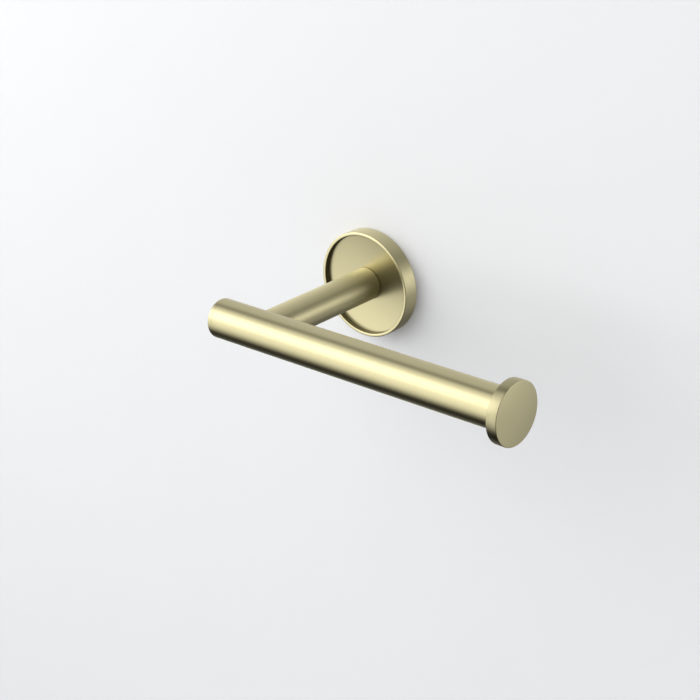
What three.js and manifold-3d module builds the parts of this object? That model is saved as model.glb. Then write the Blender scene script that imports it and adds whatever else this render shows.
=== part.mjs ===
// Wall-mounted toilet paper holder: a round flange, a post and one open-ended bar with a stop disc.
//
// Millimetres, +Z up. The wall is the plane y = 0 and the object stands out of it towards -Y.
// The origin is the centre of the wall bracket's back face, on the axis of the post.
// The bar runs along X, so a roll is pushed on over the stop disc at its +X end.
//
// How it comes apart: two screws and plugs hold the bracket on the wall. The flange drops over the
// bracket and a set screw under its rim grips it. A long tie bolt, sunk in the back of the flange,
// runs through the hollow post into a cross insert in the bar and pulls flange, post and bar together.

import * as THREE from "three";
import { mergeVertices } from "three/addons/utils/BufferGeometryUtils.js";
import Module from "manifold-3d";

// ---- Driving dimensions ----
const FLANGE_RADIUS = 25.2;
const FLANGE_HEIGHT = 7.7; // from the wall to the top of the lip
const LIP_WIDTH = 1.65;
const RECESS_DEPTH = 2.8;
const FLOOR_THICKNESS = 1.3;
const POST_RADIUS = 7.65;
const POST_WALL = 1.5;
const PROJECTION = 75; // from the wall to the axis of the bar
const BAR_RADIUS = 9;
const BAR_WALL = 1.2;
const BAR_LEFT = -25.1; // outer face of the left end cap
const BAR_RIGHT = 131.5; // where the bar meets the stop disc
const STOP_RADIUS = 13.7;
const STOP_THICKNESS = 5;
const STOP_SEAT = 0.6; // depth of the recess in the disc that takes the bar's end
const STOP_FACE = 1.2; // metal left in front of the disc's blind hole
const CAP_THICKNESS = 2.4;
const CAP_SPIGOT_LENGTH = 6.5;
const CAP_SPIGOT_WALL = 1.8;
const INSERT_LENGTH = 16; // of the cross insert, along the bar
const STOP_INSERT_LENGTH = 12;
const GAP = 0.3; // clearance round pieces that sit inside one another
const PRESS_GAP = 0.15; // clearance round pieces that are pressed into a tube
const SEAM = 0.05; // hairline between visible pieces that are clamped together
const TOUCH = 0.2; // between the set screw's point and the bracket
const EDGE = 0.5; // bevel on hidden edges
const PAST = 1; // how far a cutter runs past the surface that it opens

// ---- Fasteners ----
const WALL_SCREW_SPACING = 25;
const WALL_SCREW_RADIUS = 1.95;
const WALL_SCREW_LENGTH = 30;
const WALL_SCREW_TAPER = 5;
const WALL_SCREW_HEAD_RADIUS = 3.7;
const WALL_SCREW_HEAD_HEIGHT = 1.7;
const RECESS_REACH = 1.9; // of each arm of the cross recess
const RECESS_ARM = 0.9; // width of an arm
const RECESS_CUT = 1.1; // its depth
const PLUG_RADIUS = 3;
const PLUG_COLLAR_RADIUS = 3.6;
const PLUG_COLLAR_HEIGHT = 0.8;
const PLUG_START = 0.4; // of the collar, behind the wall's face
const PLUG_LENGTH = 28;
const TIE_BOLT_RADIUS = 2;
const TIE_BOLT_END = 77; // distance of its tip from the wall
const TIE_BOLT_HEAD_RADIUS = 3.9;
const TIE_BOLT_HEAD_RIM = 0.2;
const TIE_BOLT_KEY = 2.5; // across flats
const TIE_BOLT_SINK_RADIUS = 4.3; // mouth of the countersink in the hub
const SET_SCREW_RADIUS = 1.35;
const SET_SCREW_LENGTH = 3.5;
const SET_SCREW_HEIGHT = 2.1; // distance of its axis from the wall
const SET_SCREW_KEY = 1.5; // across flats
const SET_SCREW_POINT = 0.8; // length of its blunt point
const PIN_RADIUS = 0.9;
const PIN_OFFSET = 4.3; // of the locating pin, above the axis of the post
const PIN_BACK = 3.6; // distance of its inner end from the wall
const PIN_LENGTH = 4.4;
const STUD_RADIUS = 3;
const STUD_LENGTH = 14;
const STUD_KEY = 3; // across flats

const FLOOR_FRONT = FLANGE_HEIGHT - RECESS_DEPTH;
const FLOOR_BACK = FLOOR_FRONT - FLOOR_THICKNESS;
const CAVITY_RADIUS = 21.4;
const HUB_RADIUS = 7.8;
const HUB_BACK = 1.8;
const BRACKET_RADIUS = 20.9;
const BRACKET_BASE = 1.5;
const BRACKET_RIM_HEIGHT = 3.2;
const BRACKET_RIM_INNER = 17.4;
const SLOT_LENGTH = 7.2;
const BUSH_LENGTH = 9;
const BORE_RADIUS = BAR_RADIUS - BAR_WALL;
const SHOWN = 60; // sides of a round piece that shows
const HIDDEN = 24; // sides of a round piece inside
const FINE = 90; // sides of a cutter that leaves a visible curve

const wasm = await Module();
wasm.setup();

// ---- Shapes ----

// Turns a mesh's faces outwards if its profile ran the other way round.
function facingOut(geometry) {
  const points = geometry.getAttribute("position");
  const index = geometry.getIndex().array;
  const [a, b, c] = [new THREE.Vector3(), new THREE.Vector3(), new THREE.Vector3()];
  let volume = 0;
  for (let i = 0; i < index.length; i += 3) {
    a.fromBufferAttribute(points, index[i]);
    b.fromBufferAttribute(points, index[i + 1]);
    c.fromBufferAttribute(points, index[i + 2]);
    volume += a.dot(b.cross(c));
  }
  if (volume < 0) {
    for (let i = 0; i < index.length; i += 3) {
      [index[i + 1], index[i + 2]] = [index[i + 2], index[i + 1]];
    }
  }
  return geometry;
}

// Keeps only positions and merges shared vertices, so that the mesh is one closed surface.
function closed(geometry) {
  geometry.deleteAttribute("normal");
  geometry.deleteAttribute("uv");
  const merged = mergeVertices(geometry, 1e-4);
  const index = merged.getIndex().array;
  const kept = [];
  for (let i = 0; i < index.length; i += 3) {
    const [p, q, r] = [index[i], index[i + 1], index[i + 2]];
    if (p !== q && q !== r && r !== p) kept.push(p, q, r);
  }
  merged.setIndex(kept);
  return facingOut(merged);
}

// A solid of revolution about Y from a profile of [radius, y] points.
function turned(profile, sides) {
  const points = profile.map(([radius, y]) => new THREE.Vector2(radius, y));
  const first = points[0];
  const last = points[points.length - 1];
  if (first.x > 0 || last.x > 0) points.push(first.clone());
  return closed(new THREE.LatheGeometry(points, sides));
}

// Profile points on an arc, angles in degrees, 0 towards +radius and 90 towards +y.
function arc(radius, y, size, from, to, steps = 4) {
  return Array.from({ length: steps + 1 }, (_, i) => {
    const angle = THREE.MathUtils.degToRad(from + ((to - from) * i) / steps);
    return [radius + size * Math.cos(angle), y + size * Math.sin(angle)];
  });
}

// A plain cylinder about Y, from y0 to y1.
function rod(radius, y0, y1, sides = HIDDEN) {
  return turned([[0, y0], [radius, y0], [radius, y1], [0, y1]], sides);
}

// A six-sided key socket about Y, from y0 to y1.
function hexKey(acrossFlats, y0, y1) {
  return rod(acrossFlats / Math.sqrt(3), y0, y1, 6);
}

// A slot with round ends, cut along Y: its length runs along Z.
function slotCutter(width, length, y0, y1) {
  const half = (length - width) / 2;
  const outline = new THREE.Shape();
  outline.absarc(0, half, width / 2, 0, Math.PI);
  outline.absarc(0, -half, width / 2, Math.PI, 2 * Math.PI);
  const depth = y1 - y0;
  const geometry = new THREE.ExtrudeGeometry(outline, { depth, bevelEnabled: false, curveSegments: 12 });
  geometry.rotateX(Math.PI / 2).translate(0, y1, 0);
  return closed(geometry);
}

function solidOf(geometry) {
  return new wasm.Manifold(
    new wasm.Mesh({
      numProp: 3,
      vertProperties: geometry.getAttribute("position").array,
      triVerts: new Uint32Array(geometry.getIndex().array),
    }),
  );
}

// The body with every cutter taken away.
function cut(body, ...cutters) {
  let solid = solidOf(body);
  for (const cutter of cutters) solid = solid.subtract(solidOf(cutter));
  const mesh = solid.getMesh();
  const geometry = new THREE.BufferGeometry();
  geometry.setAttribute("position", new THREE.BufferAttribute(mesh.vertProperties, 3));
  geometry.setIndex(new THREE.BufferAttribute(mesh.triVerts, 1));
  return geometry;
}

// ---- Materials ----
function finish(color, metalness, roughness) {
  return new THREE.MeshStandardMaterial({ color, metalness, roughness });
}

const brushedGold = finish(0xc4b583, 1, 0.32);
const brass = finish(0xc8a45a, 1, 0.38);
const stainlessSteel = finish(0xb8bab9, 1, 0.35);
const blackSteel = finish(0x2b2b2d, 0.8, 0.5);
const nylon = finish(0xb9bdc1, 0, 0.6);

const holder = new THREE.Group();

function add(name, geometry, material, parent = holder) {
  const mesh = new THREE.Mesh(geometry, material);
  mesh.name = name;
  parent.add(mesh);
  return mesh;
}

// ---- Wall fixing: profiles run from the wall, with height above it as -y ----

// A plate with a raised rim for the set screw to grip, a round hole and a levelling slot.
function wallBracket() {
  const rimTop = -BRACKET_RIM_HEIGHT;
  const body = turned(
    [
      [0, 0],
      [BRACKET_RADIUS - EDGE, 0],
      [BRACKET_RADIUS, -EDGE],
      [BRACKET_RADIUS, rimTop + EDGE],
      [BRACKET_RADIUS - EDGE, rimTop],
      [BRACKET_RIM_INNER, rimTop],
      [BRACKET_RIM_INNER, -BRACKET_BASE],
      [0, -BRACKET_BASE],
    ],
    SHOWN,
  );
  const holeWidth = 2 * (WALL_SCREW_RADIUS + GAP);
  const front = -BRACKET_BASE - PAST;
  const hole = rod(holeWidth / 2, front, PAST).translate(-WALL_SCREW_SPACING / 2, 0, 0);
  const slot = slotCutter(holeWidth, SLOT_LENGTH, front, PAST).translate(WALL_SCREW_SPACING / 2, 0, 0);
  return cut(body, hole, slot);
}

// Two crossed blades that cut a cross recess in a screw head whose top is at y = top.
function crossRecess(top) {
  return [0, Math.PI / 2].map((turn) => {
    const blade = new THREE.BoxGeometry(2 * RECESS_REACH, 2 * RECESS_CUT, RECESS_ARM);
    return closed(blade.rotateY(turn + Math.PI / 4).translate(0, top, 0));
  });
}

// A low pan-head screw that stands on the bracket's base and points into the wall.
function wallScrew() {
  const seat = -BRACKET_BASE - SEAM;
  const top = seat - WALL_SCREW_HEAD_HEIGHT;
  const tip = WALL_SCREW_LENGTH - BRACKET_BASE;
  const crown = 0.8;
  const body = turned(
    [
      [0, top],
      ...arc(WALL_SCREW_HEAD_RADIUS - crown, top + crown, crown, -90, 0),
      [WALL_SCREW_HEAD_RADIUS, seat],
      [WALL_SCREW_RADIUS, seat],
      [WALL_SCREW_RADIUS, tip - WALL_SCREW_TAPER],
      [0, tip],
    ],
    HIDDEN,
  );
  return cut(body, ...crossRecess(top));
}

// A nylon plug with barbed rings, split into two legs that spread as the screw goes in.
function wallPlug() {
  const end = PLUG_START + PLUG_LENGTH;
  const collarEnd = PLUG_START + PLUG_COLLAR_HEIGHT;
  const rings = 5;
  const firstRing = 6;
  const pitch = 3.2;
  const barb = 0.45; // depth of a groove
  const ramp = 0.3;
  const bore = WALL_SCREW_RADIUS + GAP;
  const profile = [
    [bore, PLUG_START],
    [PLUG_COLLAR_RADIUS, PLUG_START],
    [PLUG_COLLAR_RADIUS, collarEnd],
    [PLUG_RADIUS, collarEnd + PLUG_COLLAR_HEIGHT],
  ];
  for (let ring = 0; ring < rings; ring++) {
    const y = PLUG_START + firstRing + ring * pitch;
    profile.push([PLUG_RADIUS - barb, y], [PLUG_RADIUS, y + ramp], [PLUG_RADIUS, y + pitch - ramp]);
  }
  profile.push([PLUG_RADIUS - barb, end], [bore, end]);
  const splitStart = PLUG_START + firstRing + PAST;
  const splitWidth = 0.8;
  const split = new THREE.BoxGeometry(splitWidth, end - splitStart + PAST, 4 * PLUG_RADIUS);
  split.translate(0, (end + splitStart + PAST) / 2, 0);
  return cut(turned(profile, HIDDEN), closed(split));
}

add("wall_bracket", wallBracket(), stainlessSteel);
for (const [side, sign] of [["left", -1], ["right", 1]]) {
  const x = (sign * WALL_SCREW_SPACING) / 2;
  add(`wall_screw_${side}`, wallScrew(), stainlessSteel).position.x = x;
  add(`wall_plug_${side}`, wallPlug(), nylon).position.x = x;
}

// ---- Flange ----

// A turned cup. Its front is a thin raised lip round a sunken floor; its back is a cavity for the
// bracket, with a hub in the middle that is countersunk for the tie bolt.
function flangeCover() {
  const lipInner = FLANGE_RADIUS - LIP_WIDTH;
  const soft = 0.35; // rounding of the lip's edges
  const foot = 0.2; // bevel where the cup meets the wall
  const lipTop = -FLANGE_HEIGHT;
  const boltBore = TIE_BOLT_RADIUS + GAP;
  const sinkDepth = TIE_BOLT_SINK_RADIUS - boltBore;
  const body = turned(
    [
      [TIE_BOLT_SINK_RADIUS, -HUB_BACK],
      [HUB_RADIUS, -HUB_BACK],
      [HUB_RADIUS, -FLOOR_BACK],
      [CAVITY_RADIUS, -FLOOR_BACK],
      [CAVITY_RADIUS, 0],
      [FLANGE_RADIUS - foot, 0],
      [FLANGE_RADIUS, -foot],
      ...arc(FLANGE_RADIUS - soft, lipTop + soft, soft, 0, -90, 2),
      ...arc(lipInner + soft, lipTop + soft, soft, -90, -180, 2),
      [lipInner, -FLOOR_FRONT],
      [boltBore, -FLOOR_FRONT],
      [boltBore, -HUB_BACK - sinkDepth],
    ],
    SHOWN,
  );
  const screwHole = rod(SET_SCREW_RADIUS + GAP, -FLANGE_RADIUS - PAST, -CAVITY_RADIUS + PAST);
  screwHole.rotateX(Math.PI / 2).translate(0, -SET_SCREW_HEIGHT, 0);
  const pinHole = rod(PIN_RADIUS + GAP, -FLOOR_FRONT - PAST, -FLOOR_BACK + foot);
  pinHole.translate(0, 0, PIN_OFFSET);
  return cut(body, screwHole, pinHole);
}

// A headless screw under the rim, with a key socket in its outer end and a blunt point.
function setScrew() {
  const outer = SET_SCREW_LENGTH;
  const bevel = 0.2;
  const socket = 1.6; // depth
  const body = turned(
    [
      [0, 0],
      [SET_SCREW_RADIUS / 2, 0],
      [SET_SCREW_RADIUS, SET_SCREW_POINT],
      [SET_SCREW_RADIUS, outer - bevel],
      [SET_SCREW_RADIUS - bevel, outer],
      [0, outer],
    ],
    HIDDEN,
  );
  return cut(body, hexKey(SET_SCREW_KEY, outer - socket, outer + PAST));
}

add("flange_cover", flangeCover(), brushedGold);
const setScrewMesh = add("set_screw", setScrew(), blackSteel);
setScrewMesh.position.set(0, -SET_SCREW_HEIGHT, -(BRACKET_RADIUS + TOUCH));
setScrewMesh.rotation.x = -Math.PI / 2;

// ---- Post ----

// A tube that stands on the flange's floor. Its far end is a saddle that fits round the bar.
function postTube() {
  const base = -FLOOR_FRONT - SEAM;
  const bevel = 0.35;
  const end = -PROJECTION;
  const inner = POST_RADIUS - POST_WALL;
  const body = turned(
    [
      [inner, base],
      [POST_RADIUS - bevel, base],
      [POST_RADIUS, base - bevel],
      [POST_RADIUS, end],
      [inner, end],
    ],
    SHOWN,
  );
  const barSpace = rod(BAR_RADIUS + 2 * SEAM, -2 * POST_RADIUS, 2 * POST_RADIUS, FINE);
  barSpace.rotateZ(Math.PI / 2).translate(0, -PROJECTION, 0);
  return cut(body, barSpace);
}

// A bush inside the post's base that centres the tube on the flange and takes the locating pin.
function baseBush() {
  const base = -FLOOR_FRONT - SEAM;
  const end = base - BUSH_LENGTH;
  const outer = POST_RADIUS - POST_WALL - PRESS_GAP;
  const bore = TIE_BOLT_RADIUS + GAP;
  const profile = [[bore, base], [outer, base], [outer, end + EDGE], [outer - EDGE, end], [bore, end]];
  const body = turned(profile, HIDDEN);
  const pinEnd = -PIN_BACK - PIN_LENGTH;
  const pinHole = rod(PIN_RADIUS + GAP, pinEnd - GAP, base + PAST).translate(0, 0, PIN_OFFSET);
  return cut(body, pinHole);
}

// A long countersunk bolt with a key socket; its head is sunk in the back of the flange's hub.
function tieBolt() {
  const headTop = -HUB_BACK;
  const sinkTop = headTop - TIE_BOLT_HEAD_RIM;
  const sink = TIE_BOLT_HEAD_RADIUS - TIE_BOLT_RADIUS;
  const tip = -TIE_BOLT_END;
  const socket = 1.5; // depth
  const body = turned(
    [
      [0, headTop],
      [TIE_BOLT_HEAD_RADIUS, headTop],
      [TIE_BOLT_HEAD_RADIUS, sinkTop],
      [TIE_BOLT_RADIUS, sinkTop - sink],
      [TIE_BOLT_RADIUS, tip + EDGE],
      [TIE_BOLT_RADIUS - EDGE, tip],
      [0, tip],
    ],
    HIDDEN,
  );
  return cut(body, hexKey(TIE_BOLT_KEY, headTop - socket, headTop + PAST));
}

add("post_tube", postTube(), brushedGold);
add("post_base_bush", baseBush(), brass);
add("tie_bolt", tieBolt(), stainlessSteel);

// ---- Bar: modelled about Y and laid along X ----
const bar = new THREE.Group();
bar.position.y = -PROJECTION;
bar.rotation.z = -Math.PI / 2;
holder.add(bar);

// A bore across the bar for the tie bolt: it enters at the side that faces the post.
function tieBoltBore(from, to) {
  return rod(TIE_BOLT_RADIUS + GAP, from, to).rotateZ(Math.PI / 2);
}

function barTube() {
  const left = BAR_LEFT + CAP_THICKNESS + SEAM;
  const right = BAR_RIGHT + STOP_SEAT - SEAM;
  const profile = [[BORE_RADIUS, left], [BAR_RADIUS, left], [BAR_RADIUS, right], [BORE_RADIUS, right]];
  return cut(turned(profile, SHOWN), tieBoltBore(0, BAR_RADIUS + PAST));
}

// A solid plug inside the bar, tapped across for the tie bolt.
function crossInsert() {
  const half = INSERT_LENGTH / 2;
  const radius = BORE_RADIUS - GAP;
  const clearTip = 1.2; // room past the bolt's tip
  const body = turned(
    [
      [0, -half],
      [radius - EDGE, -half],
      [radius, EDGE - half],
      [radius, half - EDGE],
      [radius - EDGE, half],
      [0, half],
    ],
    SHOWN,
  );
  return cut(body, tieBoltBore(PROJECTION - TIE_BOLT_END - clearTip, BAR_RADIUS));
}

// A turned cap pressed into the left end, with a rounded edge and a hollow spigot.
function endCap() {
  const soft = 0.8;
  const seam = BAR_LEFT + CAP_THICKNESS;
  const spigot = BORE_RADIUS - PRESS_GAP;
  const spigotEnd = seam + CAP_SPIGOT_LENGTH;
  return turned(
    [
      [0, BAR_LEFT],
      ...arc(BAR_RADIUS - soft, BAR_LEFT + soft, soft, -90, 0, 3),
      [BAR_RADIUS, seam],
      [spigot, seam],
      [spigot, spigotEnd - EDGE],
      [spigot - EDGE, spigotEnd],
      [spigot - CAP_SPIGOT_WALL, spigotEnd],
      [spigot - CAP_SPIGOT_WALL, seam],
      [0, seam],
    ],
    SHOWN,
  );
}

// A threaded bush pressed into the right end of the tube.
function endInsert() {
  const right = BAR_RIGHT - STOP_SEAT;
  const left = right - STOP_INSERT_LENGTH;
  const outer = BORE_RADIUS - PRESS_GAP;
  const bore = STUD_RADIUS + GAP;
  const profile = [[bore, left], [outer - EDGE, left], [outer, left + EDGE], [outer, right], [bore, right]];
  return turned(profile, HIDDEN);
}

// The disc that keeps the roll on the bar. Its back has a shallow seat for the bar's end and a blind
// tapped hole for the stud.
function stopDisc() {
  const front = BAR_RIGHT + STOP_THICKNESS;
  const soft = 0.4;
  const bore = STUD_RADIUS + GAP;
  const holeEnd = front - STOP_FACE;
  const seat = BAR_RIGHT + STOP_SEAT;
  return turned(
    [
      [bore, seat],
      [BAR_RADIUS + SEAM, seat],
      [BAR_RADIUS + SEAM, BAR_RIGHT],
      ...arc(STOP_RADIUS - soft, BAR_RIGHT + soft, soft, -90, 0, 2),
      ...arc(STOP_RADIUS - soft, front - soft, soft, 0, 90, 2),
      [0, front],
      [0, holeEnd],
      [bore, holeEnd],
      [bore, seat],
    ],
    SHOWN,
  );
}

// A headless stud with a key socket that joins the disc to the bush.
function stopStud() {
  const right = BAR_RIGHT + STOP_THICKNESS - STOP_FACE - GAP;
  const left = right - STUD_LENGTH;
  const socket = 3; // depth
  const body = turned(
    [
      [0, left],
      [STUD_RADIUS - EDGE, left],
      [STUD_RADIUS, left + EDGE],
      [STUD_RADIUS, right - EDGE],
      [STUD_RADIUS - EDGE, right],
      [0, right],
    ],
    HIDDEN,
  );
  return cut(body, hexKey(STUD_KEY, left - PAST, left + socket));
}

add("bar_tube", barTube(), brushedGold, bar);
add("cross_insert", crossInsert(), brass, bar);
add("bar_end_cap", endCap(), brushedGold, bar);
add("stop_insert", endInsert(), brass, bar);
add("stop_disc", stopDisc(), brushedGold, bar);
add("stop_stud", stopStud(), stainlessSteel, bar);

// ---- Locating pin: stops the post from turning on the flange ----
const pin = add("locating_pin", rod(PIN_RADIUS, -PIN_BACK - PIN_LENGTH, -PIN_BACK), stainlessSteel);
pin.position.z = PIN_OFFSET;

export default holder;
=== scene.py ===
import math

import bmesh
import bpy
from mathutils import Matrix, Vector


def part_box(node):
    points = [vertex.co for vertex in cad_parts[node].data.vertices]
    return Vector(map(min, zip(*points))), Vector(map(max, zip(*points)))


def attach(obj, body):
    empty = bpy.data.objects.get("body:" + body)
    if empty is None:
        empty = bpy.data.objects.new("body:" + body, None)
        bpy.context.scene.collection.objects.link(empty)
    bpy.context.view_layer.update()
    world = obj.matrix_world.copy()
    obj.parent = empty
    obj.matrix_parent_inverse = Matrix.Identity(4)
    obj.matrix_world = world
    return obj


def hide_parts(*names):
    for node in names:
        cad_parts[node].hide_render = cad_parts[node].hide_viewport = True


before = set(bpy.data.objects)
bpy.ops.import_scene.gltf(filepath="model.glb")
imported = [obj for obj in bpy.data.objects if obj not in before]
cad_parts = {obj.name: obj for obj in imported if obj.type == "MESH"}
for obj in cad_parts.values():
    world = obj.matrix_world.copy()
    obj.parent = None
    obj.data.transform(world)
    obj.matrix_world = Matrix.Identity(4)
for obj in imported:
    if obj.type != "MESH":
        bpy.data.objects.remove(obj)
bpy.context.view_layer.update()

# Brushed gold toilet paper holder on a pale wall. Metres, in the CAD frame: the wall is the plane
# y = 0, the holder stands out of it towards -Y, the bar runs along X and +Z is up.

MM = 0.001
FULL_TURN = 2 * math.pi
HOLDER = "holder"
WALL_FIXING = "wall_fixing"
SET_SCREW = "set_screw"

# ---- Sizes, read from the frame where it holds them ----
flange_low, flange_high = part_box("flange_cover")
post_low, post_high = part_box("post_tube")
bar_low, bar_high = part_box("bar_tube")
cap_low, cap_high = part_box("bar_end_cap")
disc_low, disc_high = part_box("stop_disc")
bracket_low, bracket_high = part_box("wall_bracket")

FLANGE_RADIUS = (flange_high.x - flange_low.x) / 2
FLANGE_HEIGHT = -flange_low.y
POST_RADIUS = (post_high.x - post_low.x) / 2
POST_BACK = post_high.y
BAR_RADIUS = (bar_high.z - bar_low.z) / 2
BAR_Y = (bar_high.y + bar_low.y) / 2
STOP_RADIUS = (disc_high.z - disc_low.z) / 2
BRACKET_RADIUS = (bracket_high.x - bracket_low.x) / 2

SEAM = 0.05 * MM  # hairline between two pieces that are clamped together
FLOOR_Y = POST_BACK + SEAM  # the flange's sunken face
FLOOR_THICKNESS = 1.3 * MM
LIP_WIDTH = 1.65 * MM
CAVITY_RADIUS = 21.4 * MM
HUB_RADIUS = 7.8 * MM
HUB_BACK = 1.8 * MM
SINK_RADIUS = 4.3 * MM
BOLT_BORE = 2.3 * MM
TUBE_WALL = 1.2 * MM
TUBE_EDGE = 0.03 * MM
POST_WALL = 1.5 * MM
COPE_GAP = 0.06 * MM
STOP_SEAT = 0.6 * MM
STUD_BORE = 3.3 * MM
STUD_COVER = 1.2 * MM
SET_SCREW_HOLE = 1.65 * MM
SET_SCREW_HEIGHT = 2.1 * MM
BRACKET_BASE = 1.5 * MM
BRACKET_RIM = 17.4 * MM
SCREW_RADIUS = 1.95 * MM
SCREW_HOLE = 4.5 * MM
SLOT_LENGTH = 7.2 * MM

ORIGIN = Vector((0, 0, 0))
BAR_CENTRE = Vector((0, BAR_Y, 0))

SMOOTH_SIDES = 192  # sides of a round piece that shows
PLUG_SIDES = 64
SMALL_SIDES = 48
SHARP_ANGLE = math.radians(30)  # an edge that bends more than this stays sharp
WELD = 1e-7  # points closer than this are one
FLAT = 0.9  # a face whose normal is this far along an axis counts as flat on to it
LEANING = 0.2  # and this far, as leaning towards it


# ---- Mesh helpers ----

def arc(radius, height, size, start, end, steps=6):
    """Profile points on an arc, angles in degrees: 0 towards +radius, 90 towards +height."""
    angles = [math.radians(start + (end - start) * i / steps) for i in range(steps + 1)]
    return [(radius + size * math.cos(a), height + size * math.sin(a)) for a in angles]


def shade(mesh):
    """Smooth faces with sharp edges between them."""
    mesh.polygons.foreach_set("use_smooth", [True] * len(mesh.polygons))
    mesh.set_sharp_from_angle(angle=SHARP_ANGLE)


def new_object(name, bm, material):
    bmesh.ops.remove_doubles(bm, verts=bm.verts, dist=WELD)
    bmesh.ops.recalc_face_normals(bm, faces=bm.faces)
    mesh = bpy.data.meshes.new(name)
    bm.to_mesh(mesh)
    bm.free()
    shade(mesh)
    obj = bpy.data.objects.new(name, mesh)
    bpy.context.scene.collection.objects.link(obj)
    if material:
        mesh.materials.append(material)
    return obj


def place_on_axis(radius, angle, height, axis, centre):
    """The point at a radius, angle and height about an axis ("X" or "Y") through centre."""
    a, b = radius * math.cos(angle), radius * math.sin(angle)
    local = Vector((height, a, b)) if axis == "X" else Vector((a, height, b))
    return local + centre


def turned(name, profile, axis, centre, material, sides=SMOOTH_SIDES):
    """A closed solid about an axis, from a loop or an axis-to-axis line of (radius, height).

    A radius may be a function of the angle, which is how threads are made."""
    bm = bmesh.new()
    rings = []
    angles = [FULL_TURN * i / sides for i in range(sides)]
    for radius, height in profile:
        if radius == 0:
            rings.append([bm.verts.new(place_on_axis(0, 0, height, axis, centre))])
            continue
        sizes = [radius(a) if callable(radius) else radius for a in angles]
        points = [place_on_axis(r, a, height, axis, centre) for r, a in zip(sizes, angles)]
        rings.append([bm.verts.new(point) for point in points])
    pairs = list(zip(rings, rings[1:]))
    if len(rings[0]) > 1:
        pairs.append((rings[-1], rings[0]))
    for first, second in pairs:
        if len(first) == 1 and len(second) == 1:
            continue
        for i in range(sides):
            j = (i + 1) % sides
            if len(first) == 1:
                bm.faces.new((first[0], second[i], second[j]))
            elif len(second) == 1:
                bm.faces.new((first[i], second[0], first[j]))
            else:
                bm.faces.new((first[i], second[i], second[j], first[j]))
    return new_object(name, bm, material)


def thread(start, end, crest, depth, pitch, tip=0.0):
    """Rows of a helical thread for turned(); over its last tip metres it tapers to a point."""
    rows_per_pitch = 8
    steps = math.ceil((end - start) / (pitch / rows_per_pitch))
    rows = []
    for i in range(steps):
        y = start + (end - start) * i / steps
        taper = min(1.0, (end - y) / tip) if tip else 1.0
        run_in = min(1.0, (y - start) / pitch)

        def radius(angle, y=y, taper=taper, run_in=run_in):
            phase = (y / pitch - angle / FULL_TURN) % 1.0
            return taper * (crest - depth * (1 - run_in * (1 - abs(2 * phase - 1))))

        rows.append((radius, y))
    return rows


def prism(outline, y0, y1, centre, end_scale=1.0):
    """A cutter along Y from an outline of (x, z) points about centre; y1 may be narrower."""
    bm = bmesh.new()
    near, far = [
        [bm.verts.new((centre.x + x * scale, y, centre.z + z * scale)) for x, z in outline]
        for y, scale in ((y0, 1.0), (y1, end_scale))
    ]
    bm.faces.new(near)
    bm.faces.new(far[::-1])
    for i in range(len(near)):
        j = (i + 1) % len(near)
        bm.faces.new((near[i], near[j], far[j], far[i]))
    return new_object("cutter", bm, None)


def hexagon(across_flats):
    corner = across_flats / math.sqrt(3)
    angles = [math.radians(60 * i) for i in range(6)]
    return [(corner * math.cos(a), corner * math.sin(a)) for a in angles]


def stadium(width, length, steps=24):
    """A slot outline with round ends; its length runs along z."""
    shift = (length - width) / 2
    ends = []
    for sign, start in ((1, 0), (-1, math.pi)):
        for i in range(steps + 1):
            a = start + math.pi * i / steps
            ends.append((width / 2 * math.cos(a), sign * shift + width / 2 * math.sin(a)))
    return ends


def cross(reach, half_width):
    """The outline of a cross recess, turned by 45 degrees."""
    w, r = half_width, reach
    arm = [(w, w), (r, w), (r, -w)]
    points = []
    for _ in range(4):
        points += arm
        arm = [(z, -x) for x, z in arm]
    diagonal = math.sqrt(0.5)
    return [(diagonal * (x - z), diagonal * (x + z)) for x, z in points]


def cut_away(obj, cutter):
    """Applies a boolean difference and removes the cutter."""
    modifier = obj.modifiers.new("cut", "BOOLEAN")
    modifier.operation = "DIFFERENCE"
    modifier.solver = "EXACT"
    modifier.object = cutter
    bpy.context.view_layer.update()
    evaluated = obj.evaluated_get(bpy.context.evaluated_depsgraph_get())
    mesh = bpy.data.meshes.new_from_object(evaluated)
    obj.modifiers.remove(modifier)
    old = obj.data
    obj.data = mesh
    bpy.data.meshes.remove(old)
    bpy.data.objects.remove(cutter)
    shade(obj.data)
    return obj


def paint_faces(obj, material, chosen):
    """Gives another material to the faces that chosen(centre, normal) picks."""
    obj.data.materials.append(material)
    slot = len(obj.data.materials) - 1
    for face in obj.data.polygons:
        if chosen(face.center, face.normal):
            face.material_index = slot
    return obj


# ---- Materials ----

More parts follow.
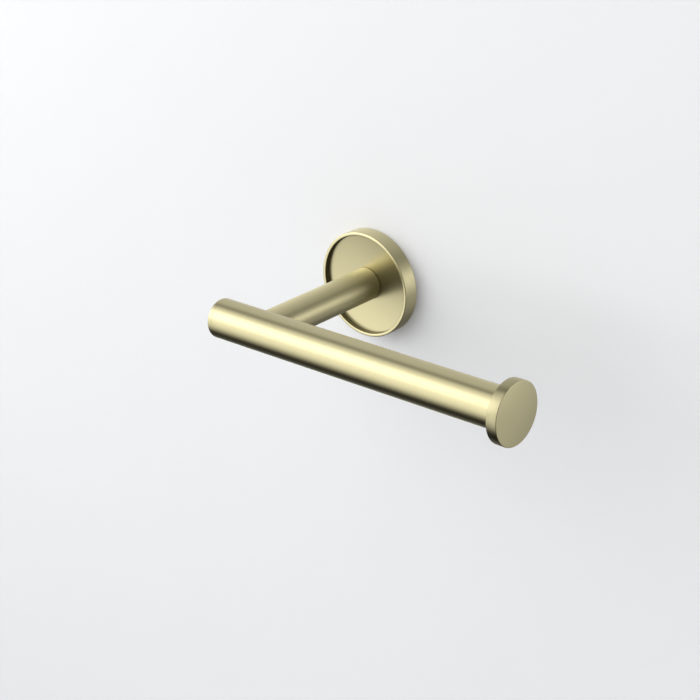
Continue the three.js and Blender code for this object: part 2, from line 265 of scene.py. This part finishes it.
class Nodes:
    """Short calls for building a node tree."""

    def __init__(self, tree):
        self.tree = tree

    def feed(self, socket, value):
        """Links a socket to the value, or sets it when the value is a plain number or colour."""
        if isinstance(value, bpy.types.NodeSocket):
            self.tree.links.new(value, socket)
        else:
            socket.default_value = value

    def make(self, kind, inputs=(), **settings):
        node = self.tree.nodes.new(kind)
        for key, value in settings.items():
            setattr(node, key, value)
        for key, value in dict(inputs).items():
            self.feed(node.inputs[key], value)
        return node

    def math(self, operation, a, b=0.0, clamp=False):
        node = self.make("ShaderNodeMath", {0: a, 1: b}, operation=operation, use_clamp=clamp)
        return node.outputs[0]

    def add(self, a, b, clamp=False):
        return self.math("ADD", a, b, clamp)

    def times(self, a, b):
        return self.math("MULTIPLY", a, b)

    def remap(self, value, low, high, from_low=0.0, from_high=1.0, ease="LINEAR"):
        inputs = {"Value": value, "From Min": from_low, "From Max": from_high,
                  "To Min": low, "To Max": high}
        node = self.make("ShaderNodeMapRange", inputs, interpolation_type=ease)
        return node.outputs["Result"]

    def noise(self, vector, scale, detail, roughness=0.5):
        inputs = {"Vector": vector, "Scale": scale, "Detail": detail, "Roughness": roughness}
        return self.make("ShaderNodeTexNoise", inputs).outputs["Fac"]

    def mix(self, factor, a, b):
        node = self.make("ShaderNodeMix", data_type="RGBA")
        for index, value in ((0, factor), (6, a), (7, b)):  # the sockets it uses for colours
            self.feed(node.inputs[index], value)
        return node.outputs[2]

    def split(self, vector):
        return self.make("ShaderNodeSeparateXYZ", {0: vector}).outputs

    def object_place(self):
        return self.make("ShaderNodeTexCoord").outputs["Object"]

    def bump(self, height, strength, distance):
        inputs = {"Height": height, "Strength": strength, "Distance": distance}
        return self.make("ShaderNodeBump", inputs).outputs[0]


def start_material(name):
    material = bpy.data.materials.new(name)
    material.use_nodes = True
    tree = material.node_tree
    return material, Nodes(tree), tree.nodes["Principled BSDF"]


def turned_coordinates(nodes, axis, centre, streak):
    """A vector that changes slowly along a turning scratch about an axis and fast across it."""
    inputs = {0: nodes.object_place(), 1: centre}
    local = nodes.make("ShaderNodeVectorMath", inputs, operation="SUBTRACT").outputs[0]
    x, y, z = nodes.split(local)
    along, a, b = (x, y, z) if axis == "X" else (y, x, z)
    radius = nodes.math("SQRT", nodes.add(nodes.times(a, a), nodes.times(b, b)))
    divisor = nodes.math("MAXIMUM", radius, 0.01 * MM)
    around_a, around_b = [nodes.times(nodes.math("DIVIDE", c, divisor), streak) for c in (a, b)]
    across = nodes.times(nodes.add(radius, along), 1 / MM)
    grain_place = nodes.make("ShaderNodeCombineXYZ", {0: around_a, 1: around_b, 2: across})
    return grain_place.outputs[0], local


# Brushed metal: how its grain is mixed, and how far that swings its tone and roughness.
COARSE_SHARE, FINE_SHARE = 0.65, 0.35
FINE_RATIO = 3.5  # scratches of the fine grain for one of the coarse
PATCH_SCALE = 90.0
TONE_SWING, TONE_SPAN = 0.28, (0.25, 0.75)  # the span of grain values that gives the swing
ROUGH_SWING, ROUGH_SPAN = 0.05, (0.3, 0.7)
PATCH_TONE = (0.35, 0.65)
PATCH_ROUGH = 0.02
GRAIN_DEPTH = 0.006 * MM
CIRCUMFERENTIAL = 0.25  # the anisotropy's turn that draws highlights out along the axis


def brushed_metal(name, color, dark, axis, centre, rough=0.38, anisotropy=0.88, streak=2.0,
                  pitch=0.35, relief=0.25, contrast=1.0):
    """Metal with a fine turned grain about an axis: scratches in height, roughness and colour.

    streak is how fast the grain changes along a scratch, pitch its spacing in millimetres."""
    material, nodes, shader = start_material(name)
    grain_place, local = turned_coordinates(nodes, axis, centre, streak)
    coarse = nodes.noise(grain_place, 1 / pitch, detail=4.0, roughness=0.65)
    fine = nodes.noise(grain_place, FINE_RATIO / pitch, detail=2.0)
    grain = nodes.add(nodes.times(coarse, COARSE_SHARE), nodes.times(fine, FINE_SHARE))
    patches = nodes.noise(local, PATCH_SCALE, detail=2.0)

    tone_swing, rough_swing = TONE_SWING * contrast, ROUGH_SWING * contrast
    grain_tone = nodes.remap(grain, -tone_swing, tone_swing, *TONE_SPAN)
    tone = nodes.add(grain_tone, nodes.remap(patches, *PATCH_TONE), clamp=True)
    nodes.feed(shader.inputs["Base Color"], nodes.mix(tone, dark, color))

    grain_rough = nodes.remap(grain, -rough_swing, rough_swing, *ROUGH_SPAN)
    patch_rough = nodes.remap(patches, rough - PATCH_ROUGH, rough + PATCH_ROUGH)
    nodes.feed(shader.inputs["Roughness"], nodes.add(grain_rough, patch_rough))

    nodes.feed(shader.inputs["Normal"], nodes.bump(grain, relief, GRAIN_DEPTH))
    tangent = nodes.make("ShaderNodeTangent", direction_type="RADIAL", axis=axis)
    nodes.feed(shader.inputs["Tangent"], tangent.outputs[0])
    shader.inputs["Metallic"].default_value = 1.0
    shader.inputs["Anisotropic"].default_value = anisotropy
    shader.inputs["Anisotropic Rotation"].default_value = CIRCUMFERENTIAL
    return material


GOLD = (0.557, 0.51, 0.305, 1.0)
GOLD_DARK = (0.497, 0.45, 0.265, 1.0)
STEEL = (0.60, 0.61, 0.62, 1.0)
STEEL_DARK = (0.50, 0.51, 0.53, 1.0)
BRASS = (0.80, 0.60, 0.27, 1.0)
BRASS_DARK = (0.66, 0.47, 0.19, 1.0)

# Finishes of single faces, some with painted light: share scales the gold's colour, so below 1 it
# is painted shade and above 1 a painted highlight.
SATIN = {"streak": 1.6, "rough": 0.30, "anisotropy": 0.1, "relief": 0.02, "contrast": 0.2}
# The sunken face: darker gold than the rest, painted shade.
FLANGE_FACE_PAINTED_SHADE = {"share": 0.79, "streak": 2.0, "rough": 0.30, "anisotropy": 0.25, "relief": 0.03,
               "contrast": 0.3}
# The lip: lighter gold than the rest, a painted highlight.
FLANGE_LIP_PAINTED_HIGHLIGHT = {"share": 1.06, "streak": 3.0, "rough": 0.34, "anisotropy": 0.3}
# The recess wall: much darker gold, painted shade in the recess.
RECESS_WALL_PAINTED_SHADE = {"share": 0.36, "rough": 0.5, "anisotropy": 0.0}


def gold(name, axis, centre, share=1.0, **changes):
    color, dark = [tuple(c * share for c in tone[:3]) + (1.0,) for tone in (GOLD, GOLD_DARK)]
    return brushed_metal(name, color, dark, axis, centre, **changes)


def steel(name, axis, centre, **changes):
    settings = {"rough": 0.34, "anisotropy": 0.55, "pitch": 0.25, **changes}
    return brushed_metal(name, STEEL, STEEL_DARK, axis, centre, **settings)


def brass(name, axis, centre):
    settings = {"rough": 0.30, "anisotropy": 0.5, "pitch": 0.2}
    return brushed_metal(name, BRASS, BRASS_DARK, axis, centre, **settings)


def speckled(name, color, dark, metallic, rough, scale, relief):
    """A surface with fine uneven colour, gloss and texture, for oxide coating and nylon."""
    patch_ratio, rough_swing, depth = 12, 0.08, 0.01 * MM
    fine_tone, patch_tone = (-0.3, 0.7), (0.0, 0.6)
    material, nodes, shader = start_material(name)
    place = nodes.object_place()
    fine = nodes.noise(place, scale, detail=5.0, roughness=0.6)
    patches = nodes.noise(place, scale / patch_ratio, detail=2.0)
    tones = nodes.remap(fine, *fine_tone), nodes.remap(patches, *patch_tone)
    blend = nodes.add(*tones, clamp=True)
    nodes.feed(shader.inputs["Base Color"], nodes.mix(blend, dark, color))
    gloss = nodes.remap(patches, rough - rough_swing, rough + rough_swing)
    nodes.feed(shader.inputs["Roughness"], gloss)
    nodes.feed(shader.inputs["Normal"], nodes.bump(fine, relief, depth))
    shader.inputs["Metallic"].default_value = metallic
    return material


# ---- Pieces of the holder ----

def make_flange():
    """A cup with a raised lip round its sunken face, and a hub for the tie bolt at its back."""
    lip_inner = FLANGE_RADIUS - LIP_WIDTH
    crown, floor_corner, back_edge = 0.5 * MM, 0.25 * MM, 0.2 * MM
    top = -FLANGE_HEIGHT
    floor_back = FLOOR_Y + FLOOR_THICKNESS
    profile = [
        (SINK_RADIUS, -HUB_BACK), (HUB_RADIUS, -HUB_BACK), (HUB_RADIUS, floor_back),
        (CAVITY_RADIUS, floor_back), (CAVITY_RADIUS, 0),
        (FLANGE_RADIUS - back_edge, 0), (FLANGE_RADIUS, -back_edge),
        *arc(FLANGE_RADIUS - crown, top + crown, crown, 0, -90),
        *arc(lip_inner + crown, top + crown, crown, -90, -180),
        *arc(lip_inner - floor_corner, FLOOR_Y - floor_corner, floor_corner, 0, 90, steps=3),
        (BOLT_BORE, FLOOR_Y), (BOLT_BORE, -HUB_BACK - (SINK_RADIUS - BOLT_BORE)),
    ]
    metal = gold("brushed_gold_flange", "Y", ORIGIN, streak=3.0)
    obj = turned("flange_shell", profile, "Y", ORIGIN, metal)

    # The set screw's hole is made along X, then turned to point down.
    outside, inside = -FLANGE_RADIUS - MM, -CAVITY_RADIUS + MM
    bore = [(0, outside), (SET_SCREW_HOLE, outside), (SET_SCREW_HOLE, inside), (0, inside)]
    hole = turned("hole", bore, "X", ORIGIN, None, SMALL_SIDES)
    hole.data.transform(Matrix.Rotation(math.radians(-90), 4, "Y"))
    hole.data.transform(Matrix.Translation((0, -SET_SCREW_HEIGHT, 0)))
    cut_away(obj, hole)

    def on_floor(centre, normal):
        return normal.y < -FLAT and centre.y > FLOOR_Y - MM

    def on_lip(centre, normal):
        return normal.y < -LEANING and centre.y < FLOOR_Y - MM

    def on_recess_wall(centre, normal):
        faces_in = centre.x * normal.x + centre.z * normal.z < -LEANING * lip_inner
        return faces_in and abs(normal.y) < FLAT and centre.y < FLOOR_Y

    # Darker gold on the face and the recess wall is painted shade; lighter gold on the lip is a
    # painted highlight.
    paint_faces(obj, gold("brushed_gold_flange_face_painted_shade", "Y", ORIGIN, **FLANGE_FACE_PAINTED_SHADE), on_floor)
    paint_faces(obj, gold("brushed_gold_flange_lip_painted_highlight", "Y", ORIGIN, **FLANGE_LIP_PAINTED_HIGHLIGHT), on_lip)
    return paint_faces(obj, gold("gold_recess_wall_painted_shade", "Y", ORIGIN, **RECESS_WALL_PAINTED_SHADE), on_recess_wall)


def make_post():
    """A tube whose far end is coped to the bar: each of its lines ends on the bar's surface."""
    saddle = BAR_RADIUS + COPE_GAP
    inner = POST_RADIUS - POST_WALL
    chamfer = 0.3 * MM
    rings = 40

    def end_y(radius, angle):
        return BAR_Y + math.sqrt(saddle**2 - (radius * math.sin(angle)) ** 2)

    bm = bmesh.new()
    angles = [FULL_TURN * i / SMOOTH_SIDES for i in range(SMOOTH_SIDES)]
    loops = [[(POST_RADIUS - chamfer, POST_BACK)] * SMOOTH_SIDES]
    start = POST_BACK - chamfer
    ends = [end_y(POST_RADIUS, a) for a in angles]
    for step in range(rings + 1):
        share = step / rings
        loops.append([(POST_RADIUS, start + (end - start) * share) for end in ends])
    loops.append([(inner, end_y(inner, a)) for a in angles])
    loops.append([(inner, POST_BACK)] * SMOOTH_SIDES)
    rows = [
        [bm.verts.new((r * math.cos(a), y, r * math.sin(a))) for a, (r, y) in zip(angles, loop)]
        for loop in loops
    ]
    for first, second in zip(rows, rows[1:] + rows[:1]):
        for i in range(SMOOTH_SIDES):
            j = (i + 1) % SMOOTH_SIDES
            bm.faces.new((first[i], second[i], second[j], first[j]))
    return new_object("post_shell", bm, gold("brushed_gold_post", "Y", ORIGIN, streak=1.2))


def make_bar():
    inner = BAR_RADIUS - TUBE_WALL
    left, right = bar_low.x, bar_high.x
    profile = [
        (inner, left), (BAR_RADIUS - TUBE_EDGE, left), (BAR_RADIUS, left + TUBE_EDGE),
        (BAR_RADIUS, right), (inner, right),
    ]
    metal = gold("brushed_gold_bar", "X", BAR_CENTRE, streak=1.2)
    return turned("bar_shell", profile, "X", BAR_CENTRE, metal)


def make_end_cap():
    soft = 0.9 * MM
    left, seam = cap_low.x, bar_low.x - SEAM
    spigot, spigot_end = BAR_RADIUS - TUBE_WALL - 0.15 * MM, cap_high.x
    spigot_bore = spigot - 1.8 * MM
    profile = [
        (0, left),
        *arc(BAR_RADIUS - soft, left + soft, soft, -90, 0, steps=8),
        (BAR_RADIUS, seam - TUBE_EDGE), (BAR_RADIUS - TUBE_EDGE, seam),
        (spigot, seam), (spigot, spigot_end), (spigot_bore, spigot_end), (spigot_bore, seam),
        (0, seam),
    ]
    metal = gold("brushed_gold_cap", "X", BAR_CENTRE, streak=1.2)
    obj = turned("end_cap_shell", profile, "X", BAR_CENTRE, metal)
    face = gold("satin_gold_cap_face", "X", BAR_CENTRE, **SATIN)
    return paint_faces(obj, face, lambda centre, normal: normal.x < -FLAT)


def make_stop_disc():
    soft = 0.35 * MM
    back, front = disc_low.x, disc_high.x
    seat, seat_radius = back + STOP_SEAT, BAR_RADIUS + SEAM
    hole_end = front - STUD_COVER
    profile = [
        (STUD_BORE, seat), (seat_radius, seat), (seat_radius, back),
        *arc(STOP_RADIUS - soft, back + soft, soft, -90, 0, steps=4),
        *arc(STOP_RADIUS - soft, front - soft, soft, 0, 90, steps=4),
        (0, front), (0, hole_end), (STUD_BORE, hole_end),
    ]
    # The disc's sides get darker gold than the bar, painted shade.
    metal = gold("brushed_gold_disc_painted_shade", "X", BAR_CENTRE, share=0.74, streak=1.6)
    obj = turned("stop_disc_shell", profile, "X", BAR_CENTRE, metal)
    face = gold("satin_gold_disc_face", "X", BAR_CENTRE, **SATIN)
    return paint_faces(obj, face, lambda centre, normal: normal.x > FLAT)


# ---- Wall fixing and fasteners ----
screw_places = {}
for side in ("left", "right"):
    low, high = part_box(f"wall_screw_{side}")
    screw_places[side] = Vector(((low.x + high.x) / 2, 0, 0))


def make_bracket():
    """A plate with a raised rim, one round screw hole and one levelling slot."""
    rim, edge = bracket_low.y, 0.4 * MM
    outside = BRACKET_RADIUS - edge
    profile = [
        (0, 0), (outside, 0),
        *arc(outside, -edge, edge, 90, 0, steps=4),
        *arc(outside, rim + edge, edge, 0, -90, steps=4),
        *arc(BRACKET_RIM + edge, rim + edge, edge, -90, -180, steps=4),
        *arc(BRACKET_RIM - edge, -BRACKET_BASE - edge, edge, 0, 90, steps=4),
        (0, -BRACKET_BASE),
    ]
    metal = steel("stainless_bracket", "Y", ORIGIN, anisotropy=0.4, streak=4.0, pitch=0.5)
    obj = turned("bracket_plate", profile, "Y", ORIGIN, metal)
    for side, length in (("left", SCREW_HOLE), ("right", SLOT_LENGTH)):
        outline = stadium(SCREW_HOLE, length)
        cut_away(obj, prism(outline, -BRACKET_BASE - MM, MM, screw_places[side]))
    return obj


def make_wall_screw(side):
    low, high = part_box(f"wall_screw_{side}")
    place = screw_places[side]
    head_radius, crown = (high.x - low.x) / 2, 0.8 * MM
    seat, core = -BRACKET_BASE - SEAM, 0.8 * SCREW_RADIUS
    plain_shank, thread_depth, thread_pitch, point = 2 * MM, 0.6 * MM, 1.4 * MM, 5 * MM
    cross_reach, cross_half_width, cross_depth = 1.9 * MM, 0.42 * MM, 1.1 * MM
    profile = [
        (0, low.y),
        *arc(head_radius - crown, low.y + crown, crown, -90, 0),
        (head_radius, seat), (core, seat),
        *thread(seat + plain_shank, high.y, SCREW_RADIUS, thread_depth, thread_pitch, point),
        (0, high.y),
    ]
    metal = steel("stainless_wall_screw", "Y", place)
    obj = turned(f"wall_screw_{side}_threaded", profile, "Y", place, metal, SMALL_SIDES)
    outline = cross(cross_reach, cross_half_width)
    recess = prism(outline, low.y - 0.2 * MM, low.y + cross_depth, place, end_scale=0.55)
    return cut_away(obj, recess)


def make_wall_plug(side):
    """A sleeve with a collar, ringed by barbs and slit along most of its length."""
    low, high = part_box(f"wall_plug_{side}")
    place = screw_places[side]
    start, end = low.y, high.y
    collar, outer, bore = (high.x - low.x) / 2, 3.0 * MM, 2.25 * MM
    collar_edge, collar_end, neck_end, tip_inset = 0.3 * MM, 0.8 * MM, 1.4 * MM, 0.6 * MM
    barbs, first_barb, barb_pitch = 5, 6.0 * MM, 3.2 * MM
    barb = [(-0.45 * MM, 0), (0, 0.5 * MM), (0, 1.0 * MM), (-0.2 * MM, 2.9 * MM)]
    half_slit, slit_start = 0.4 * MM, 7.5 * MM
    profile = [
        (bore, start), (collar - collar_edge, start),
        (collar, start + collar_edge), (collar, start + collar_end),
        (outer, start + neck_end), (outer, start + first_barb - 0.5 * MM),
    ]
    for i in range(barbs):
        y = start + first_barb + barb_pitch * i
        profile += [(outer + out, y + along) for out, along in barb]
    profile += [(outer - tip_inset, end), (bore, end)]
    nylon = speckled("nylon_plug", (0.46, 0.48, 0.50, 1.0), (0.40, 0.42, 0.44, 1.0),
                     metallic=0.0, rough=0.5, scale=2500, relief=0.35)
    obj = turned(f"wall_plug_{side}_barbed", profile, "Y", place, nylon, PLUG_SIDES)
    reach = 2 * collar
    slit = [(-half_slit, -reach), (half_slit, -reach), (half_slit, reach), (-half_slit, reach)]
    return cut_away(obj, prism(slit, start + slit_start, end + MM, place))


def make_set_screw():
    """Made along Y, then turned to point at the wall bracket from below."""
    low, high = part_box("set_screw")
    radius, length = (high.x - low.x) / 2, high.z - low.z
    key, key_depth = 1.5 * MM, 1.6 * MM
    point, point_end, thread_start, thread_stop = 0.7 * MM, 0.6 * MM, 0.7 * MM, 0.2 * MM
    thread_depth, thread_pitch, end_radius = 0.22 * MM, 0.5 * MM, 1.1 * MM
    profile = [
        (0, 0), (point, 0), (radius - 0.15 * MM, point_end),
        *thread(thread_start, length - thread_stop, radius, thread_depth, thread_pitch),
        (end_radius, length), (0, length),
    ]
    oxide = speckled("black_oxide", (0.055, 0.055, 0.06, 1.0), (0.02, 0.02, 0.022, 1.0),
                     metallic=0.85, rough=0.42, scale=3000, relief=0.25)
    obj = turned("set_screw_threaded", profile, "Y", ORIGIN, oxide, SMALL_SIDES)
    cut_away(obj, prism(hexagon(key), length - key_depth, length + MM, ORIGIN))
    obj.data.transform(Matrix.Rotation(math.radians(-90), 4, "X"))
    obj.data.transform(Matrix.Translation((0, (low.y + high.y) / 2, high.z)))
    return obj


def make_tie_bolt():
    low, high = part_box("tie_bolt")
    head, shank, rim = (high.x - low.x) / 2, 2.0 * MM, 0.2 * MM
    tip, threaded = low.y, 14 * MM
    thread_depth, thread_pitch, tip_chamfer, tip_radius = 0.35 * MM, 0.7 * MM, 0.5 * MM, 1.4 * MM
    key, key_depth = 2.5 * MM, 1.5 * MM
    cone_end, thread_end = high.y - rim - (head - shank), tip + threaded
    rows = thread(tip + tip_chamfer, thread_end - 0.2 * MM, shank, thread_depth, thread_pitch)
    profile = [
        (0, high.y), (head, high.y), (head, high.y - rim), (shank, cone_end),
        (shank, thread_end), (shank - 0.05 * MM, thread_end - 0.1 * MM),
        *reversed(rows),
        (tip_radius, tip), (0, tip),
    ]
    metal = steel("stainless_bolt", "Y", ORIGIN)
    obj = turned("tie_bolt_threaded", profile, "Y", ORIGIN, metal, SMALL_SIDES)
    return cut_away(obj, prism(hexagon(key), high.y - key_depth, high.y + MM, ORIGIN))


pieces = [
    (make_flange(), "flange_cover", HOLDER, "brushed_gold"),
    (make_post(), "post_tube", HOLDER, "brushed_gold"),
    (make_bar(), "bar_tube", HOLDER, "brushed_gold"),
    (make_end_cap(), "bar_end_cap", HOLDER, "brushed_gold"),
    (make_stop_disc(), "stop_disc", HOLDER, "brushed_gold"),
    (make_bracket(), "wall_bracket", WALL_FIXING, "stainless_steel"),
]
for side in screw_places:
    pieces.append((make_wall_screw(side), f"wall_screw_{side}", WALL_FIXING, "stainless_steel"))
    pieces.append((make_wall_plug(side), f"wall_plug_{side}", WALL_FIXING, "nylon"))
pieces.append((make_set_screw(), "set_screw", SET_SCREW, "black_steel"))
pieces.append((make_tie_bolt(), "tie_bolt", HOLDER, "stainless_steel"))
for piece, node, body, slot in pieces:
    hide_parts(node)
    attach(piece, body)


def dress(node, material):
    """Gives a carried-over CAD node its material."""
    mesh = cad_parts[node].data
    mesh.materials.clear()
    mesh.materials.append(material)


dress("post_base_bush", brass("turned_brass_bush", "Y", ORIGIN))
dress("cross_insert", brass("turned_brass_insert", "X", BAR_CENTRE))
dress("stop_insert", brass("turned_brass_stop_insert", "X", BAR_CENTRE))
dress("stop_stud", steel("stainless_stud", "X", BAR_CENTRE))
dress("locating_pin", steel("stainless_pin", "Y", ORIGIN))


# ---- Wall and floor ----
WALL_LEFT, WALL_RIGHT, WALL_UP, WALL_DOWN = 1.6, 1.6, 0.30, 0.8  # its edges from the flange
WALL_Y = 0.1 * MM
WALL_COLOR, WALL_ROUGH = (0.712, 0.718, 0.728, 1.0), 0.55
FLOOR_COLOR, FLOOR_ROUGH = (0.62, 0.62, 0.62, 1.0), 0.6
FLOOR_HALF, FLOOR_Z = 2.5, -0.6


def stage_material(name, color, roughness):
    """A plain pale surface with a faint unevenness."""
    patch_scale, darkest = 9.0, 0.985
    material, nodes, shader = start_material(name)
    patches = nodes.noise(nodes.object_place(), patch_scale, detail=4.0)
    shaded = tuple(c * darkest for c in color[:3]) + (1.0,)
    nodes.feed(shader.inputs["Base Color"], nodes.mix(patches, shaded, color))
    shader.inputs["Roughness"].default_value = roughness
    return material


def clear_from_behind(material):
    """Lets the holder show through the back of the wall."""
    tree = material.node_tree
    nodes = Nodes(tree)
    front = tree.nodes["Principled BSDF"].outputs[0]
    clear = nodes.make("ShaderNodeBsdfTransparent").outputs[0]
    side = nodes.make("ShaderNodeNewGeometry").outputs["Backfacing"]
    mixed = nodes.make("ShaderNodeMixShader", {0: side, 1: front, 2: clear})
    nodes.feed(tree.nodes["Material Output"].inputs["Surface"], mixed.outputs[0])
    return material


def stage_object(name, mesh, material):
    """Part of the set. The photo's metal doesn't mirror its own wall, so none of it is mirrored."""
    mesh.materials.append(material)
    obj = bpy.data.objects.new(name, mesh)
    obj.visible_glossy = False
    bpy.context.scene.collection.objects.link(obj)
    return obj


def make_wall():
    """A flat wall just behind the flange. Its hole is for the plugs, and the bracket hides it."""
    hole = BRACKET_RADIUS - 0.3 * MM
    edges_x, edges_z = (WALL_RIGHT, -WALL_LEFT), (WALL_UP, -WALL_DOWN)
    corners = [math.atan2(z, x) % FULL_TURN for z in edges_z for x in edges_x]
    angles = sorted(corners + [math.radians(3 * i) for i in range(120)])
    bm = bmesh.new()
    inner, outer = [], []
    for a in angles:
        c, s = math.cos(a), math.sin(a)
        reach_x = (WALL_RIGHT if c > 0 else WALL_LEFT) / max(abs(c), 1e-9)
        reach_z = (WALL_UP if s > 0 else WALL_DOWN) / max(abs(s), 1e-9)
        reach = min(reach_x, reach_z)
        inner.append(bm.verts.new((hole * c, WALL_Y, hole * s)))
        outer.append(bm.verts.new((reach * c, WALL_Y, reach * s)))
    for i in range(len(angles)):
        j = (i + 1) % len(angles)
        bm.faces.new((inner[i], outer[i], outer[j], inner[j]))
    bmesh.ops.recalc_face_normals(bm, faces=bm.faces)
    bm.faces.ensure_lookup_table()
    if bm.faces[0].normal.y > 0:
        bmesh.ops.reverse_faces(bm, faces=bm.faces)
    mesh = bpy.data.meshes.new("stage_wall")
    bm.to_mesh(mesh)
    bm.free()
    material = clear_from_behind(stage_material("pale_wall", WALL_COLOR, WALL_ROUGH))
    return stage_object("stage_wall", mesh, material)


def make_floor():
    mesh = bpy.data.meshes.new("stage_floor")
    signs = ((-1, -1), (1, -1), (1, 1), (-1, 1))
    corners = [(x * FLOOR_HALF, y * FLOOR_HALF, FLOOR_Z) for x, y in signs]
    mesh.from_pydata(corners, [], [(0, 1, 2, 3)])
    return stage_object("stage_floor", mesh, stage_material("pale_floor", FLOOR_COLOR, FLOOR_ROUGH))


make_wall()
make_floor()


# ---- Light ----
# Brightness of the room as (degrees, value). FRONT_LIGHT runs from below, over the front, to the
# wall, in the plane across the bar. BACK_LIGHT runs round the post and lights what faces the wall.
BRIGHTEST = 2.3
FRONT_LIGHT = [
    (-180, 0.2), (-100, 0.02), (-68, 0.01), (-54, 0.22), (-37, 1.25), (-19, 1.95), (0, 2.3),
    (30, 2.3), (55, 2.2), (70, 1.8), (80, 1.4), (90, 0.25), (104, 0.12), (140, 0.5), (180, 0.8),
]
BACK_LIGHT = [
    (-180, 1.08), (-153, 0.68), (-113, 0.24), (-73, 0.28), (-46, 0.72), (-26, 0.78), (-13, 1.5),
    (7, 1.95), (30, 0.85), (48, 0.48), (76, 0.74), (101, 0.80), (129, 0.98), (167, 1.12),
    (180, 1.08),
]
RIGHT_SHARE = 0.14  # of FRONT_LIGHT, in directions to the right of RIGHT_X
RIGHT_X, LEFT_X = 0.55, -0.4  # the x of a direction between which FRONT_LIGHT comes up to full
FRONT_Y, BACK_Y = -0.05, 0.35  # the y between which FRONT_LIGHT gives way to BACK_LIGHT
BACKDROP = (0.86, 0.86, 0.86, 1.0)
KEY_PLACE, KEY_SIZE, KEY_POWER = (-0.60, -0.56, 0.34), 0.55, 2.0


def ramp_of(nodes, a, b, stops):
    """A colour ramp over the angle atan2(a, b), from (degrees, brightness) stops."""
    turn = nodes.remap(nodes.math("ARCTAN2", a, b), 0.0, 1.0, -math.pi, math.pi)
    ramp = nodes.make("ShaderNodeValToRGB", {0: turn})
    elements = ramp.color_ramp.elements
    while len(elements) < len(stops):
        elements.new(0.5)
    for element, (degrees, value) in zip(elements, stops):
        level = value / BRIGHTEST
        element.position = (degrees + 180) / 360
        element.color = (level, level, level, 1.0)
    return ramp.outputs[0]


def make_world():
    """Soft room light that varies with direction, and a plain pale backdrop to the camera."""
    world = bpy.data.worlds.new("studio")
    bpy.context.scene.world = world
    world.use_nodes = True
    nodes = Nodes(world.node_tree)
    room = world.node_tree.nodes["Background"]
    x, y, z = nodes.split(nodes.make("ShaderNodeTexCoord").outputs["Generated"])
    front = ramp_of(nodes, z, nodes.times(y, -1.0), FRONT_LIGHT)
    back = ramp_of(nodes, z, x, BACK_LIGHT)
    share = nodes.remap(x, RIGHT_SHARE, 1.0, RIGHT_X, LEFT_X, ease="SMOOTHSTEP")
    behind = nodes.remap(y, 0.0, 1.0, FRONT_Y, BACK_Y, ease="SMOOTHSTEP")
    dimmed = nodes.make("ShaderNodeVectorMath", {0: front, "Scale": share}, operation="SCALE")
    nodes.feed(room.inputs["Color"], nodes.mix(behind, dimmed.outputs[0], back))
    room.inputs["Strength"].default_value = BRIGHTEST
    plain = nodes.make("ShaderNodeBackground", {"Color": BACKDROP, "Strength": 1.0}).outputs[0]
    is_camera = nodes.make("ShaderNodeLightPath").outputs["Is Camera Ray"]
    mixed = nodes.make("ShaderNodeMixShader", {0: is_camera, 1: room.outputs[0], 2: plain})
    nodes.feed(world.node_tree.nodes["World Output"].inputs["Surface"], mixed.outputs[0])


def make_key_light():
    """A soft square light at the upper left, aimed at the flange."""
    data = bpy.data.lights.new("key_softbox", "AREA")
    data.shape = "SQUARE"
    data.size = KEY_SIZE
    data.energy = KEY_POWER
    obj = bpy.data.objects.new("key_softbox", data)
    obj.location = KEY_PLACE
    obj.rotation_euler = (-Vector(KEY_PLACE)).to_track_quat("-Z", "Y").to_euler()
    obj.visible_camera = False
    bpy.context.scene.collection.objects.link(obj)


make_world()
make_key_light()

# ---- Camera, fitted to the photo's outlines ----
CAMERA_AZIMUTH = math.radians(42.04)
CAMERA_ELEVATION = math.radians(23.61)
CAMERA_ROLL = math.radians(-1.99)
CAMERA_DISTANCE = 0.810
AIM_RIGHT, AIM_UP = -0.01133, -0.03232
LENS, SENSOR_WIDTH = 89.94, 36.0  # millimetres


def make_camera():
    a, e, r = CAMERA_AZIMUTH, CAMERA_ELEVATION, CAMERA_ROLL
    back = Vector((math.sin(a) * math.cos(e), -math.cos(a) * math.cos(e), math.sin(e)))
    level = Vector((math.cos(a), math.sin(a), 0))
    upright = back.cross(level)
    right = level * math.cos(r) + upright * math.sin(r)
    up = upright * math.cos(r) - level * math.sin(r)
    data = bpy.data.cameras.new("camera")
    data.sensor_width = SENSOR_WIDTH
    data.lens = LENS
    data.clip_start, data.clip_end = 0.01, 50.0
    obj = bpy.data.objects.new("camera", data)
    place = right * AIM_RIGHT + up * AIM_UP + back * CAMERA_DISTANCE
    axes = Matrix((right, up, back)).transposed().to_4x4()
    obj.matrix_world = Matrix.Translation(place) @ axes
    bpy.context.scene.collection.objects.link(obj)
    bpy.context.scene.camera = obj


make_camera()
bpy.context.scene.view_settings.view_transform = "Standard"
